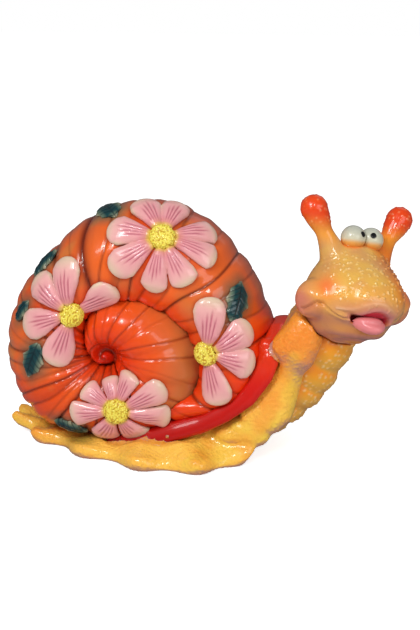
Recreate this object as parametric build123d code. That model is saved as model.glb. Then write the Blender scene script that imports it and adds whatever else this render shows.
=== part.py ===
from build123d import *
import math
import os

# A garden snail figurine: a cast and painted ornament that rests on a flat foot.
# X runs from the tail to the head, Y across the shell and Z up, with the near face at -Y.
# At the end the whole assembly is moved so that its box stands centred over the origin.

# Shell: a coil about an axis along Y, wound clockwise as seen from the near face.
SHELL_REACH = 163.0
SHELL_HALF_WIDTH = 68.0
COIL_X = -95.0
COIL_Z = 98.0
COIL_CLEARANCE = 3.0
RIB_DEPTH = 2.6
RIB_FULL_DEPTH_SHARE = 0.5
BODY_RIBS = 18
SPIRE_RIBS = 12
RIB_SHOULDER_SHARES = (0.24, 0.76)
SPIRE_TURNS = (-128, 225)
BODY_TURNS = (225, 580)
COLUMELLA_RADIUS = 22.0
COLUMELLA_HALF_LENGTH = 47.0
# Rows of (place along the spindle from its middle, radius) as shares of its two sizes.
COLUMELLA_SHARES = [(-1.0, 0.12), (-0.6, 0.66), (-0.25, 0.95), (0.25, 0.95), (0.6, 0.66), (1.0, 0.12)]
OVERLAP_SHARE = 0.32
THINNEST_SHARE = 0.42

# Rows of (turn in degrees, share of SHELL_REACH) for the outline of the coil.
WHORL_REACH_SHARES = [
    (-135, 0.05), (-90, 0.065), (-45, 0.08), (0, 0.11), (34, 0.175), (56, 0.26), (77, 0.35),
    (90, 0.39), (135, 0.51),
    (180, 0.63), (225, 0.64), (247, 0.60), (270, 0.567), (292, 0.60), (315, 0.67),
    (343, 0.68), (360, 0.68), (382, 0.675), (405, 0.69), (423, 0.735), (440, 0.825),
    (453, 0.90), (464, 0.955), (477, 1.0), (505, 1.0), (528, 1.01), (540, 1.04),
    (550, 1.0), (560, 0.905), (570, 0.77), (580, 0.69)]
# Rows of (turn in degrees, share of SHELL_HALF_WIDTH) for half the shell's thickness.
WHORL_WIDTH_SHARES = [
    (-135, 0.55), (-90, 0.62), (0, 0.75), (90, 0.93), (180, 1.03), (225, 1.03), (270, 1.0),
    (360, 0.93), (450, 0.91), (540, 0.91), (580, 0.88)]

# Rolled lip that flares outwards along the shell's open edge.
LIP_HALF_HEIGHT = 11.5
LIP_HALF_THICKNESS = 5.0
# Rows of (turn, share of SHELL_REACH, share of SHELL_HALF_WIDTH) along one side of the lip.
LIP_PATH_SHARES = [
    (530, 1.035, 0.0), (530, 1.035, 0.20), (531, 1.035, 0.38), (532, 1.035, 0.54),
    (535, 1.02, 0.67), (542, 0.975, 0.77), (551, 0.895, 0.81), (560, 0.795, 0.83), (570, 0.70, 0.84),
    (582, 0.605, 0.85), (596, 0.555, 0.84), (610, 0.53, 0.80), (628, 0.53, 0.70)]

# Foot and the skirt round it.
SKIRT_LENGTH = 270.0
SKIRT_HALF_WIDTH = 88.0
SKIRT_X = -68.5
SKIRT_HEIGHT = 46.0
FLUTE_DEPTH = 7.0
FLUTE_LIFT = 3.0
FLUTE_COUNT = 13
POINTS_PER_FLUTE = 5
EGG_SHARE = 0.5
FRONT_LIFT = 28.0
FRONT_START_SHARE = 0.84
FRONT_TUCK_SHARE = 0.2
# Rows of (height share, plan share, flute share, rise share, lift share) from the ground
# up: the rise heightens a level towards the front, and the lift raises its front end.
SKIRT_LEVEL_SHARES = [
    (0.0, 0.96, 0.8, 0.0, 0.0), (0.13, 1.0, 1.0, 0.0, 1.0), (0.28, 0.965, 1.0, 0.0, 1.0),
    (0.26, 0.87, 0.7, 0.5, 0.9), (0.30, 0.74, 0.35, 1.1, 0.6), (0.38, 0.60, 0.0, 1.7, 0.3),
    (1.10, 0.42, 0.0, 0.0, 0.0)]
FOOT_LEVEL_SHARES = [(0.0, 0.66, 0.0, 0.0, 0.0), (0.5, 0.54, 0.0, 0.0, 0.0)]

# Neck: a bent tube with broad rings, from under the shell up to the head.
NECK_BASE_X = 40.0
NECK_BASE_Z = 34.0
NECK_REACH = 95.0
NECK_HEIGHT = 112.0
NECK_SWING = 20.0
NECK_RADIUS = 36.0
NECK_RING_DEPTH = 3.4
NECK_RINGS = 6
# Depth of the groove at four places along each ring, as shares of NECK_RING_DEPTH.
NECK_RING_SHARES = (0.0, 0.25, 1.0, 0.25)
# Rows of (place along the neck, reach, swing, height, radius, lean in degrees).
NECK_SHARES = [
    (0.0, 0.0, 0.0, 0.0, 0.93, 38), (0.2, 0.19, 0.05, 0.12, 1.0, 42),
    (0.4, 0.40, 0.15, 0.27, 0.985, 46), (0.6, 0.60, 0.35, 0.455, 0.96, 53),
    (0.8, 0.76, 0.60, 0.69, 0.92, 59), (1.0, 0.97, 1.0, 0.98, 0.86, 62)]
ROD_RADIUS = 4.0
ROD_REACH_SHARES = (0.12, 0.93)

# Flared collar round the back and the sides of the neck.
COLLAR_HALF_WIDTH = 54.0
COLLAR_DEPTH = 46.0
COLLAR_CORNER = 16.0
COLLAR_CORNER_SHARE = 0.45
# Rows of (place along the neck, half width, reach to the back, reach to the front), the
# width as a share of COLLAR_HALF_WIDTH and both reaches as shares of COLLAR_DEPTH.
COLLAR_SHARES = [
    (0.10, 1.08, 0.95, 0.50), (0.25, 1.04, 1.0, 0.56), (0.36, 0.98, 1.0, 0.52),
    (0.46, 0.90, 1.0, 0.34), (0.56, 0.85, 1.0, 0.18), (0.66, 0.88, 0.98, 0.04),
    (0.76, 0.95, 0.92, 0.08), (0.86, 0.92, 0.86, 0.02), (0.96, 0.76, 0.84, -0.10)]

# Head: its own frame has X forward along the face, Y to the snail's left and Z up.
HEAD_X = 144.5
HEAD_Y = -30.0
HEAD_Z = 165.0
HEAD_YAW = -53
HEAD_PITCH = 10
HEAD_ROLL = 12
HEAD_HALF_WIDTH = 58.0
HEAD_FRONT = 61.0
HEAD_BACK = 36.0
HEAD_HEIGHT = 98.0
HEAD_CHIN_DROP = 43.0
OUTLINE_POINTS = 24
CREASE_SHARE = 0.07
CREASE_ANGLE = 48
CREASE_SPREAD = 13
# Rows of (height share above the chin, back, front, half width) for the head's levels.
HEAD_LEVEL_SHARES = [
    (0.0, 0.30, 0.34, 0.28), (0.06, 0.62, 0.54, 0.50), (0.15, 0.85, 0.66, 0.66),
    (0.25, 0.96, 0.78, 0.78), (0.34, 1.0, 0.95, 0.85), (0.45, 1.0, 1.0, 0.86),
    (0.56, 0.97, 0.94, 0.82), (0.67, 0.95, 0.82, 0.73), (0.77, 0.90, 0.63, 0.61),
    (0.87, 0.82, 0.44, 0.50), (0.95, 0.64, 0.26, 0.39), (1.0, 0.40, 0.12, 0.25)]
CHEEK_RADIUS = 20.0
CHEEK_FORWARD = 6.0
CHEEK_SPREAD = 42.0
CHEEK_DROP = 3.0
MOUTH_HALF_WIDTH = 46.0
MOUTH_DROP = 22.0
MOUTH_OPENING = 7.0
MOUTH_CORNER_DROP = 6.0
MOUTH_FLOOR = 30.0
MOUTH_LIP_HALF_LENGTH = 16.0
MOUTH_LIP_THICKNESS = 10.0
MOUTH_LIP_FORWARD = 50.0
MOUTH_LIP_ASIDE = 5.0
MOUTH_LIP_DROP = 25.0
MOUTH_LIP_STEPS = 8
MOUTH_LIP_END_SHARE = 0.42
MOUTH_LIP_SWELL_SHARE = 0.66

# Eyes and horns, placed in the head's frame.
EYE_RADIUS = 12.0
EYE_FORWARD = 8.0
EYE_SPACING = 20.0
EYE_RISE = 58.0
PUPIL_RADIUS = 2.7
PUPIL_PROUD = 0.4
PUPIL_DEPTH = 2.0
GAZE_SHARES = (0.86, 0.36, 0.36)
HORN_BASE_SPREAD = 24.0
HORN_BASE_RISE = 40.0
HORN_TIP_SPREAD = 48.5
HORN_TIP_RISE = 81.5
HORN_TIP_BACK = 5.0
HORN_ROOT_RADIUS = 15.0
HORN_WAIST_RADIUS = 8.2
HORN_WAIST_SHARE = 0.55
KNOB_RADIUS = 13.3
WIRE_RADIUS = 1.5
WIRE_INTO_HEAD = 22.0
WIRE_INTO_KNOB = 4.0

# Flowers and leaves in relief on the shell.
FLOWER_REACH = 55.0
PETAL_HALF_WIDTH = 15.5
PETAL_RISE = 6.0
PETAL_GAP_SHARE = 0.96
FLOWER_CENTRE_RADIUS = 12.0
FLOWER_CENTRE_RISE = 7.0
FLOWER_CENTRE_EDGE = 4.0
FLOWER_CENTRE_ROUND = 5.0
PETAL_ROOT_SHARE = 0.62
# Rows of (place along a petal, share of its half width, share of its rise).
PETAL_SHARES = [
    (0.0, 0.34, 0.55), (0.25, 0.66, 0.90), (0.5, 0.92, 1.0), (0.73, 1.0, 1.0),
    (0.88, 0.86, 0.88), (0.96, 0.60, 0.66), (1.0, 0.30, 0.40)]
# Rows of (turn, lean, facing lean, side, petals), each petal an angle and a share of reach.
FLOWER_SHARES = [
    (476, 54, 54, -1, [(13, 0.95), (68, 0.84), (112, 0.92), (165, 0.96),
                       (209, 1.0), (258, 0.84), (297, 0.91), (339, 0.98)]),
    (419, 107, 74, -1, [(38, 0.92), (96, 1.0), (143, 0.95), (201, 0.93), (252, 1.0)]),
    (249, 91, 91, -1, [(29, 1.0), (70, 0.73), (110, 0.55), (151, 0.72), (188, 0.87),
                       (240, 0.72), (299, 0.72), (354, 0.93)]),
    (532, 112, 74, -1, [(31, 0.87), (88, 1.0), (282, 0.95), (343, 0.82)]),
    (470, 94, 84, 1, [(5, 0.8), (52, 0.75), (97, 0.62), (143, 0.75), (190, 0.95),
                      (236, 0.9), (280, 0.86), (322, 0.6)]),
    (400, 104, 76, 1, [(325, 0.9), (22, 1.0), (75, 0.94), (130, 0.96), (185, 0.86)]),
    (262, 90, 90, 1, [(10, 0.9), (55, 0.8), (100, 0.62), (146, 0.76), (190, 0.92),
                      (238, 0.7), (304, 0.7)])]
LEAF_LENGTH = 34.0
LEAF_HALF_WIDTH = 11.0
LEAF_RISE = 4.0
LEAF_SHARES = [
    (0.0, 0.15, 0.5), (0.18, 0.70, 0.9), (0.30, 0.62, 0.9), (0.45, 1.0, 1.0),
    (0.57, 0.80, 1.0), (0.72, 0.78, 0.9), (0.84, 0.42, 0.8), (1.0, 0.06, 0.4)]
# Rows of (turn, lean, side, angle, share of leaf size).
LEAF_PLACE_SHARES = [
    (450, 14, -1, 0, 1.3), (416, 30, -1, 75, 1.05), (389, 47, -1, 60, 0.8),
    (359, 78, -1, 250, 1.15), (514, 48, -1, 60, 1.25), (295, 56, -1, 335, 1.05),
    (436, 34, 1, 120, 1.0), (505, 66, 1, 300, 1.1), (330, 70, 1, 215, 1.0)]
FREE_SPREAD = 90
SEARCH_STEP = 1.5
SEARCH_HALVINGS = 12
SLOPE_STEP = 0.5

HEAD_NODES = (
    "head", "lower_lip", "eyeball_left", "eyeball_right", "pupil_left", "pupil_right",
    "tentacle_left", "tentacle_right", "tentacle_wire_left", "tentacle_wire_right")

SMALLEST_VOLUME = 1.0

nodes = {}


def ruled_body(sections):
    """Straight-sided lofts from each section to the next, joined into one solid."""
    spans = [loft([first, second], ruled=True) for first, second in zip(sections, sections[1:])]
    return spans[0].fuse(*spans[1:])


def read_share(table, place, column=1):
    """Read a column of a table of shares, with a smooth curve through its rows."""
    last = len(table) - 1
    index = 0
    while index < last - 1 and table[index + 1][0] <= place:
        index += 1

    def slope(row):
        before = table[max(row - 1, 0)]
        after = table[min(row + 1, last)]
        return (after[column] - before[column]) / (after[0] - before[0])

    start, end = table[index], table[index + 1]
    span = end[0] - start[0]
    part = min(max((place - start[0]) / span, 0), 1)
    rise = end[column] - start[column]
    left = slope(index) * span - rise
    right = rise - slope(index + 1) * span
    return start[column] + rise * part + part * (1 - part) * ((1 - part) * left + part * right)


def coil_radial(turn):
    angle = math.radians(turn)
    return Vector(-math.cos(angle), 0, math.sin(angle))


def coil_point(turn, reach, side):
    return Vector(COIL_X, side, COIL_Z) + coil_radial(turn) * reach


def whorl_size(turn):
    """Inner edge, outer edge and half width of the whorl's section at a turn."""
    outer = SHELL_REACH * read_share(WHORL_REACH_SHARES, turn)
    half = SHELL_HALF_WIDTH * read_share(WHORL_WIDTH_SHARES, turn)
    if turn <= SPIRE_TURNS[1]:
        return COIL_CLEARANCE, outer, half
    suture = SHELL_REACH * read_share(WHORL_REACH_SHARES, turn - 360)
    inner = suture - OVERLAP_SHARE * (outer - suture)
    inner = min(inner, outer - THINNEST_SHARE * SHELL_REACH)
    return max(inner, COIL_CLEARANCE), outer, half


def whorl_section(turn, trim):
    """Elliptical section of the coil, made smaller by a trim at the grooves."""
    inner, outer, half = whorl_size(turn)
    centre = coil_point(turn, (inner + outer) / 2, 0)
    tangent = Vector(math.sin(math.radians(turn)), 0, math.cos(math.radians(turn)))
    plane = Plane(origin=centre, x_dir=coil_radial(turn), z_dir=tangent)
    return plane * Ellipse((outer - inner) / 2 - trim, half - trim)


def whorl(turns, count):
    """Ribbed length of the coil: each rib has two shoulders and a groove after it."""
    sections = [whorl_section(turns[0], 0)]
    pitch = (turns[1] - turns[0]) / count
    for rib in range(count):
        start = turns[0] + rib * pitch
        for share in RIB_SHOULDER_SHARES:
            sections.append(whorl_section(start + share * pitch, 0))
        depth_share = min(1, read_share(WHORL_REACH_SHARES, start + pitch) / RIB_FULL_DEPTH_SHARE)
        depth = RIB_DEPTH * depth_share if rib < count - 1 else 0
        sections.append(whorl_section(start + pitch, depth))
    return ruled_body(sections)


def shell_field(point):
    """Below one inside the smooth coil, one on its surface and above one outside."""
    across = point.X - COIL_X
    up = point.Z - COIL_Z
    reach = math.hypot(across, up)
    turn = math.degrees(math.atan2(up, -across))
    nearest = math.inf
    for lap in range(-1, 3):
        place = turn + 360 * lap
        if SPIRE_TURNS[0] <= place <= BODY_TURNS[1]:
            inner, outer, half = whorl_size(place)
            across_share = (2 * reach - inner - outer) / (outer - inner)
            nearest = min(nearest, across_share ** 2 + (point.Y / half) ** 2)
    return nearest


def drop_on_shell(point, direction):
    """Move a point along a direction until it meets the coil's surface."""
    reached = 0
    while shell_field(point + direction * reached) > 1 and reached < SHELL_REACH:
        reached += SEARCH_STEP
    low, high = reached - SEARCH_STEP, reached
    for _ in range(SEARCH_HALVINGS):
        middle = (low + high) / 2
        if shell_field(point + direction * middle) > 1:
            low = middle
        else:
            high = middle
    return point + direction * high


def shell_normal(point):
    steps = (Vector(SLOPE_STEP, 0, 0), Vector(0, SLOPE_STEP, 0), Vector(0, 0, SLOPE_STEP))
    rises = [shell_field(point + step) - shell_field(point - step) for step in steps]
    return Vector(*rises).normalized()


def section_point(turn, lean, side):
    """Point on the coil's section at a turn, leaning from the crest towards one side."""
    inner, outer, half = whorl_size(turn)
    angle = math.radians(lean)
    reach = (inner + outer) / 2 + (outer - inner) / 2 * math.cos(angle)
    return coil_point(turn, reach, side * half * math.sin(angle))


def shell_place(turn, lean, facing, side):
    """Frame on the shell at a turn and a lean, with the outward direction of another lean."""
    normal = shell_normal(section_point(turn, facing, side))
    upward = Vector(0, 0, 1) - normal * normal.Z
    return Plane(origin=section_point(turn, lean, side), x_dir=upward.cross(normal), z_dir=normal)


def blade(frame, angle, start, end, half_width, rise, shares, spread=FREE_SPREAD):
    """Domed strip that follows the shell outwards from a frame, such as a petal or a leaf."""
    turned = math.radians(angle)
    heading = frame.x_dir * math.cos(turned) + frame.y_dir * math.sin(turned)
    lift = frame.z_dir * SHELL_HALF_WIDTH
    places = [start + (end - start) * row[0] for row in shares]
    spine = [drop_on_shell(frame.origin + heading * place + lift, -frame.z_dir) for place in places]
    sections = []
    for index, row in enumerate(shares):
        ahead = spine[min(index + 1, len(spine) - 1)]
        behind = spine[max(index - 1, 0)]
        forward = (ahead - behind).normalized()
        sideways = shell_normal(spine[index]).cross(forward).normalized()
        plane = Plane(origin=spine[index], x_dir=sideways, z_dir=forward)
        room = half_width
        if spread < FREE_SPREAD:
            room = places[index] * math.tan(math.radians(spread))
        sections.append(plane * Ellipse(min(half_width * row[1], room), rise * row[2]))
    return ruled_body(sections)


def petal_forms(frame, petals):
    """Petals round a flower's centre, each kept clear of its neighbours."""
    forms = []
    start = FLOWER_CENTRE_RADIUS * PETAL_ROOT_SHARE
    for angle, reach_share in petals:
        gaps = [abs((angle - other + 180) % 360 - 180) for other, _ in petals if other != angle]
        spread = min(gaps) / 2 * PETAL_GAP_SHARE
        end = FLOWER_REACH * reach_share
        forms.append(blade(frame, angle, start, end, PETAL_HALF_WIDTH, PETAL_RISE, PETAL_SHARES, spread))
    return forms


def flower_centre_form(frame):
    """Rounded button that sits over the roots of the petals."""
    blank = Cylinder(FLOWER_CENTRE_RADIUS, FLOWER_CENTRE_RISE + FLOWER_CENTRE_EDGE)
    rim = blank.edges().filter_by(GeomType.CIRCLE).sort_by(Axis.Z)[-1]
    button = fillet(rim, radius=FLOWER_CENTRE_ROUND)
    return frame.location * (Pos(0, 0, (FLOWER_CENTRE_RISE - FLOWER_CENTRE_EDGE) / 2) * button)


def egg_outline(height_share, plan_share, flute_share, rise_share, lift_share):
    """Closed wavy outline of the skirt, wider to the front and narrow at the tail."""
    count = FLUTE_COUNT * POINTS_PER_FLUTE
    points = []
    for index in range(count):
        angle = 2 * math.pi * index / count
        wave = math.cos(FLUTE_COUNT * angle) * flute_share
        front = max((math.cos(angle) - FRONT_START_SHARE) / (1 - FRONT_START_SHARE), 0)
        front = front * front * (3 - 2 * front)
        along = SKIRT_LENGTH / 2 * plan_share + FLUTE_DEPTH * wave
        half = SKIRT_HALF_WIDTH * plan_share * (1 + EGG_SHARE * math.cos(angle)) + FLUTE_DEPTH * wave
        height = SKIRT_HEIGHT * height_share
        if height > 0:
            forward = (1 + math.cos(angle)) / 2
            height *= 1 + rise_share * forward ** 2
            height += FLUTE_LIFT * wave + FRONT_LIFT * lift_share * front
        else:
            along *= 1 - FRONT_TUCK_SHARE * front
        points.append(Vector(SKIRT_X + along * math.cos(angle), half * math.sin(angle), height))
    return Wire([Spline(*points, periodic=True).edge()])


def skirt_form(level_shares):
    return Solid.make_loft([egg_outline(*row) for row in level_shares], ruled=True)


def neck_place(place):
    """Centre, forward direction and radius at a place along the neck."""
    centre = Vector(
        NECK_BASE_X + NECK_REACH * read_share(NECK_SHARES, place, 1),
        -NECK_SWING * read_share(NECK_SHARES, place, 2),
        NECK_BASE_Z + NECK_HEIGHT * read_share(NECK_SHARES, place, 3))
    lean = math.radians(read_share(NECK_SHARES, place, 5))
    forward = Vector(math.cos(lean), 0, math.sin(lean))
    return centre, forward, NECK_RADIUS * read_share(NECK_SHARES, place, 4)


def neck_form():
    """Ringed neck: each ring swells between two grooves."""
    sections = []
    count = NECK_RINGS * len(NECK_RING_SHARES)
    for index in range(count + 1):
        centre, forward, radius = neck_place(index / count)
        groove = NECK_RING_DEPTH * NECK_RING_SHARES[index % len(NECK_RING_SHARES)]
        sections.append(Plane(origin=centre, x_dir=(0, 1, 0), z_dir=forward) * Circle(radius - groove))
    return ruled_body(sections)


def collar_form():
    sections = []
    for place, width_share, back_share, front_share in COLLAR_SHARES:
        centre, forward, _ = neck_place(place)
        plane = Plane(origin=centre, x_dir=(0, -1, 0), z_dir=forward)
        depth = COLLAR_DEPTH * (back_share + front_share)
        middle = COLLAR_DEPTH * (back_share - front_share) / 2
        corner = min(COLLAR_CORNER, depth * COLLAR_CORNER_SHARE)
        outline = RectangleRounded(2 * COLLAR_HALF_WIDTH * width_share, depth, corner)
        sections.append(plane * Pos(0, -middle, 0) * outline)
    return ruled_body(sections)


def lip_form():
    """Bead along the shell's edge: from the far side over the crest to the near side."""
    half_path = []
    for turn, reach_share, side_share in LIP_PATH_SHARES:
        half_path.append((turn, SHELL_REACH * reach_share, SHELL_HALF_WIDTH * side_share))
    path = [coil_point(turn, reach, side) for turn, reach, side in reversed(half_path[1:])]
    path += [coil_point(turn, reach, -side) for turn, reach, side in half_path]
    bead = Ellipse(LIP_HALF_HEIGHT, LIP_HALF_THICKNESS)
    sections = []
    for index, point in enumerate(path):
        forward = (path[min(index + 1, len(path) - 1)] - path[max(index - 1, 0)]).normalized()
        outward = point - Vector(COIL_X, 0, COIL_Z)
        outward = (outward - forward * outward.dot(forward)).normalized()
        sections.append(Plane(origin=point, x_dir=outward, z_dir=forward) * bead)
    return ruled_body(sections)


def head_frame():
    yaw = math.radians(HEAD_YAW)
    pitch = math.radians(HEAD_PITCH)
    roll = math.radians(HEAD_ROLL)
    level_forward = Vector(math.cos(yaw), math.sin(yaw), 0)
    left = Vector(-math.sin(yaw), math.cos(yaw), 0)
    forward = level_forward * math.cos(pitch) + Vector(0, 0, 1) * math.sin(pitch)
    up = Vector(0, 0, 1) * math.cos(pitch) - level_forward * math.sin(pitch)
    rolled_up = up * math.cos(roll) + left * math.sin(roll)
    return Plane(origin=(HEAD_X, HEAD_Y, HEAD_Z), x_dir=forward, z_dir=rolled_up)


def head_outline(height_share, back_share, front_share, width_share):
    """Closed outline of the head at one level, creased between muzzle and cheeks."""
    points = []
    for index in range(OUTLINE_POINTS):
        angle = 360 * index / OUTLINE_POINTS
        turned = min(angle, 360 - angle)
        crease = CREASE_SHARE * math.exp(-((turned - CREASE_ANGLE) / CREASE_SPREAD) ** 2)
        crease *= math.sin(math.pi * height_share)
        ahead = math.cos(math.radians(angle)) * (1 - crease)
        aside = math.sin(math.radians(angle)) * (1 - crease)
        depth = HEAD_FRONT * front_share if ahead > 0 else HEAD_BACK * back_share
        height = HEAD_HEIGHT * height_share - HEAD_CHIN_DROP
        points.append(Vector(depth * ahead, HEAD_HALF_WIDTH * width_share * aside, height))
    return Wire([Spline(*points, periodic=True).edge()])


def head_form():
    """Skull and muzzle in one smooth body, with a round cheek on each side."""
    skull = Solid.make_loft([head_outline(*row) for row in HEAD_LEVEL_SHARES], ruled=False)
    cheek = Pos(CHEEK_FORWARD, CHEEK_SPREAD, -CHEEK_DROP) * Sphere(CHEEK_RADIUS)
    return skull + cheek + mirror(cheek, about=Plane.XZ)


def mouth_slot():
    """Smiling slot that cuts into the muzzle from the front."""
    left = (MOUTH_HALF_WIDTH, -MOUTH_CORNER_DROP)
    right = (-MOUTH_HALF_WIDTH, -MOUTH_CORNER_DROP)
    lower = ThreePointArc(right, (0, -MOUTH_DROP), left)
    upper = ThreePointArc(left, (0, MOUTH_OPENING - MOUTH_DROP), right)
    profile = Plane(origin=(MOUTH_FLOOR, 0, 0), x_dir=(0, 1, 0), z_dir=(1, 0, 0)) * make_face([lower, upper])
    return extrude(profile, amount=HEAD_FRONT)


def lower_lip_form():
    """Crescent lip: swollen in the middle and drawn out to both ends."""
    sections = []
    for index in range(MOUTH_LIP_STEPS + 1):
        share = 2 * index / MOUTH_LIP_STEPS - 1
        round_share = math.sqrt(max(1 - share * share, 0))
        swell = MOUTH_LIP_END_SHARE + MOUTH_LIP_SWELL_SHARE * round_share
        centre = Vector(
            MOUTH_LIP_FORWARD - MOUTH_LIP_THICKNESS * share * share,
            MOUTH_LIP_HALF_LENGTH * share - MOUTH_LIP_ASIDE,
            MOUTH_LIP_THICKNESS / 2 * share * share - MOUTH_LIP_DROP)
        plane = Plane(origin=centre, x_dir=(1, 0, 0), z_dir=(0, 1, 0))
        sections.append(plane * Ellipse(MOUTH_LIP_THICKNESS * swell, MOUTH_LIP_THICKNESS / 2 * swell))
    return ruled_body(sections)


def horn_axis(side):
    base = Vector(0, side * HORN_BASE_SPREAD, HORN_BASE_RISE)
    tip = Vector(-HORN_TIP_BACK, side * HORN_TIP_SPREAD, HORN_TIP_RISE)
    return base, tip, Plane(origin=base, z_dir=(tip - base).normalized())


def horn_form(side):
    """Horn with a drawn-in stem and a ball knob, turned about its own axis."""
    base, tip, plane = horn_axis(side)
    length = (tip - base).length
    neck_rise = length - math.sqrt(KNOB_RADIUS ** 2 - HORN_WAIST_RADIUS ** 2)
    waist = (HORN_WAIST_RADIUS, length * HORN_WAIST_SHARE)
    profile = [
        Line((0, 0), (HORN_ROOT_RADIUS, 0)),
        Spline([(HORN_ROOT_RADIUS, 0), waist, (HORN_WAIST_RADIUS, neck_rise)]),
        ThreePointArc((HORN_WAIST_RADIUS, neck_rise), (KNOB_RADIUS, length), (0, length + KNOB_RADIUS)),
        Line((0, length + KNOB_RADIUS), (0, 0))]
    turned = revolve(Plane.XZ * make_face(profile), axis=Axis.Z)
    return plane.location * turned


def wire_form(side):
    base, tip, plane = horn_axis(side)
    length = (tip - base).length + WIRE_INTO_HEAD + WIRE_INTO_KNOB
    wire = Pos(0, 0, length / 2 - WIRE_INTO_HEAD) * Cylinder(WIRE_RADIUS, length)
    return plane.location * wire


def eye_form(side):
    centre = Vector(EYE_FORWARD, side * EYE_SPACING / 2, EYE_RISE)
    return Pos(*centre) * Sphere(EYE_RADIUS)


def pupil_form(side):
    centre = Vector(EYE_FORWARD, side * EYE_SPACING / 2, EYE_RISE)
    gaze = Vector(GAZE_SHARES[0], -side * GAZE_SHARES[1], GAZE_SHARES[2]).normalized()
    plane = Plane(origin=centre, z_dir=gaze)
    disc = Pos(0, 0, EYE_RADIUS) * Cylinder(PUPIL_RADIUS, 2 * PUPIL_DEPTH)
    return (plane.location * disc) & (Pos(*centre) * Sphere(EYE_RADIUS + PUPIL_PROUD))


def rod_form():
    """Straight steel rod from the foot through the neck into the head."""
    start = neck_place(ROD_REACH_SHARES[0])[0]
    end = neck_place(ROD_REACH_SHARES[1])[0]
    plane = Plane(origin=(start + end) / 2, z_dir=(end - start).normalized())
    return plane.location * Cylinder(ROD_RADIUS, (end - start).length)


def keep(name, shape):
    """File a piece under its name, as one solid or as a group of separate solids."""
    solids = [solid for solid in shape.solids() if solid.volume > SMALLEST_VOLUME]
    nodes[name] = solids[0] if len(solids) == 1 else Compound(children=solids)
    return nodes[name]


def largest(shape):
    """The biggest solid of a shape, without the crumbs that a cut leaves behind."""
    return max(shape.solids(), key=lambda solid: solid.volume)


def columella_form():
    """Spindle that fills the pit in the middle of the coil."""
    sections = []
    for place_share, radius_share in COLUMELLA_SHARES:
        plane = Plane(origin=(COIL_X, COLUMELLA_HALF_LENGTH * place_share, COIL_Z), z_dir=(0, 1, 0))
        sections.append(plane * Circle(COLUMELLA_RADIUS * radius_share))
    return ruled_body(sections)


def apart(first, second):
    """Whether the boxes of two shapes are clear of each other."""
    one = first.bounding_box(optimal=False)
    other = second.bounding_box(optimal=False)
    lows = zip(one.min, other.max)
    highs = zip(other.min, one.max)
    return any(low > high for low, high in lows) or any(low > high for low, high in highs)


def cut_all(shape, tools):
    """Cut a shape by the whole, uncut forms of the pieces that it seats on."""
    for tool in tools:
        if not apart(shape, tool):
            shape = shape - tool
    return shape


def build_shell():
    """Whorls and lip; their whole forms are handed on to cut the pieces round them."""
    spire = whorl(SPIRE_TURNS, SPIRE_RIBS) + columella_form()
    body = whorl(BODY_TURNS, BODY_RIBS)
    lip = lip_form()
    keep("spire_whorl", spire)
    keep("body_whorl", body - spire)
    keep("shell_lip", cut_all(lip, [body, spire]))
    return [spire, body, lip]


def build_flowers(shell):
    """Flowers and leaves that lie face to face on the shell."""
    reliefs = []
    for number, (turn, lean, facing, side, petals) in enumerate(FLOWER_SHARES, start=1):
        frame = shell_place(turn, lean, facing, side)
        centre = flower_centre_form(frame)
        forms = petal_forms(frame, petals)
        keep(f"flower_{number}_centre", cut_all(centre, shell))
        keep(f"flower_{number}_petals", cut_all(Compound(children=forms), [centre, *shell]))
        reliefs.extend(forms)
    for number, (turn, lean, side, angle, size_share) in enumerate(LEAF_PLACE_SHARES, start=1):
        frame = shell_place(turn, lean, lean, side)
        half = LEAF_LENGTH * size_share / 2
        leaf = blade(frame, angle, -half, half, LEAF_HALF_WIDTH * size_share, LEAF_RISE, LEAF_SHARES)
        keep(f"leaf_{number}", cut_all(leaf, shell))
        reliefs.append(leaf)
    return reliefs


def build_head():
    """Head with its eyes, horns, wires and lip, modelled in the head's own frame."""
    skull = head_form() - mouth_slot()
    head = skull
    lip = lower_lip_form()
    keep("lower_lip", lip - skull)
    for name, side in (("left", 1), ("right", -1)):
        wire = keep(f"tentacle_wire_{name}", wire_form(side))
        pupil = keep(f"pupil_{name}", pupil_form(side))
        eye = eye_form(side)
        neighbours = [pupil] if side < 0 else [pupil, eye_form(-side)]
        keep(f"eyeball_{name}", cut_all(eye, neighbours))
        head = cut_all(head, [eye, pupil, wire])
        keep(f"tentacle_{name}", cut_all(horn_form(side), [skull, eye, wire]))
    keep("head", head)
    frame = head_frame()
    for name in HEAD_NODES:
        nodes[name] = frame.location * nodes[name]
    return frame.location * skull, frame.location * lip


def build_body(shell, reliefs, skull, lip):
    """Neck, collar, skirt and foot, each cut to seat on the pieces above it."""
    rod = keep("neck_rod", rod_form())
    neck = neck_form()
    collar = collar_form()
    core = skirt_form(FOOT_LEVEL_SHARES)
    keep("head", nodes["head"] - rod)
    keep("neck", cut_all(neck, [skull, lip, rod, *shell]))
    frill = skirt_form(SKIRT_LEVEL_SHARES)
    keep("mantle_collar", largest(cut_all(collar, [neck, rod, skull, *shell, *reliefs])))
    keep("foot", cut_all(core, [neck, rod, collar, *shell, *reliefs]))
    keep("mantle_frill", largest(cut_all(frill, [core, neck, collar, *shell, *reliefs])))


def centre_assembly():
    """Move every piece so that the box of the whole stands centred on the ground."""
    boxes = [shape.bounding_box() for shape in nodes.values()]
    low, high = boxes[0].min, boxes[0].max
    for box in boxes:
        low = Vector(min(low.X, box.min.X), min(low.Y, box.min.Y), min(low.Z, box.min.Z))
        high = Vector(max(high.X, box.max.X), max(high.Y, box.max.Y), max(high.Z, box.max.Z))
    shift = Vector(-(low.X + high.X) / 2, -(low.Y + high.Y) / 2, -low.Z)
    print("moved by", shift, "size", high - low)
    for name in nodes:
        nodes[name] = Pos(*shift) * nodes[name]


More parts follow.
